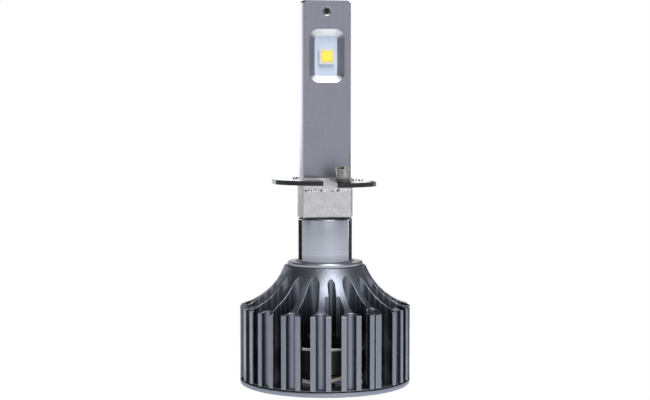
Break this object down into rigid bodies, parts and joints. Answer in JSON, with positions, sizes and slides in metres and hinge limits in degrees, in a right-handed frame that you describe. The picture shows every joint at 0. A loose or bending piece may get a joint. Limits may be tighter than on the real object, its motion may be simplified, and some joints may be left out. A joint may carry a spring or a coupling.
{
  "type": "headlight bulb",
  "caption": "Retrofit LED headlight bulb: two-sided emitter mast with a sliding mounting collar on a finned, fan-cooled heat sink.",
  "frame": {"origin": "on the bulb's axis at the underside of the base cover, which is the bottom of its bounding box", "axes": "+Z along the bulb's axis from the base cover to the tip of the mast; -Y is the front emitter's facing direction; +X to the right of the front"},
  "size_m": [0.038, 0.038, 0.0848],
  "materials": {
    "black_anodised": "black anodised extrusion, turned bell, satin",
    "grey_anodised": "grey anodised, fine bead-blasted satin",
    "turned_aluminium": "turned, semi-polished",
    "nickel_plate": "nickel-plated pressed steel, lightly scuffed",
    "screw_steel": "plated steel screw",
    "copper": "bare copper",
    "board_white": "white solder mask on a metal-core board",
    "package_white": "white ceramic emitter package",
    "phosphor": "yellow phosphor under clear silicone",
    "fan_plastic": "black moulded plastic",
    "rubber": "black rubber",
    "sintered_bronze": "oil-filled sintered bronze",
    "shaft_steel": "ground steel",
    "magnet": "bonded ferrite",
    "lamination": "silicon steel laminations",
    "enamelled_copper": "enamelled copper wire",
    "board_green": "green solder mask",
    "chip_black": "moulded epoxy",
    "capacitor_tan": "tantalum and ceramic bodies",
    "ferrite": "ferrite core",
    "terminal_ivory": "ivory nylon",
    "wire_red": "PVC insulation",
    "clip_nylon": "white nylon"
  },
  "bodies": {
    "bulb": {"heat_sink": "black_anodised", "base_cover": "grey_anodised", "cover_screws": "screw_steel", "cable_grommet": "rubber", "fan_frame": "fan_plastic", "fan_bearing": "sintered_bronze", "fan_circuit_board": "board_green", "stator_core": "lamination", "stator_coils": "enamelled_copper", "fan_leads": "wire_red", "driver_board": "board_green", "driver_inductor": "ferrite", "driver_capacitors": "capacitor_tan", "driver_chips": "chip_black", "power_terminal": "terminal_ivory", "stem": "turned_aluminium", "stem_lock_nut": "screw_steel", "front_mast_shell": "grey_anodised", "rear_mast_shell": "grey_anodised", "copper_core": "copper", "mast_screw": "screw_steel", "front_led_board": "board_white", "rear_led_board": "board_white", "front_led_package": "package_white", "rear_led_package": "package_white", "front_phosphor": "phosphor", "rear_phosphor": "phosphor", "led_leads": "wire_red"},
    "rotor": {"fan_rotor": "fan_plastic", "rotor_yoke": "lamination", "rotor_magnet": "magnet", "fan_shaft": "shaft_steel", "shaft_clip": "clip_nylon"},
    "collar": {"mounting_flange": "nickel_plate", "collar_sleeve": "nickel_plate"}
  },
  "joints": [
    {"name": "fan_spin", "type": "hinge", "parent": "bulb", "child": "rotor", "pos_m": [0, 0, 0.007], "axis": [0, 0, 1], "continuous": true},
    {"name": "collar_slide", "type": "slide", "parent": "bulb", "child": "collar", "axis": [0, 0, 1], "range_m": [0, 0.05]}
  ]
}
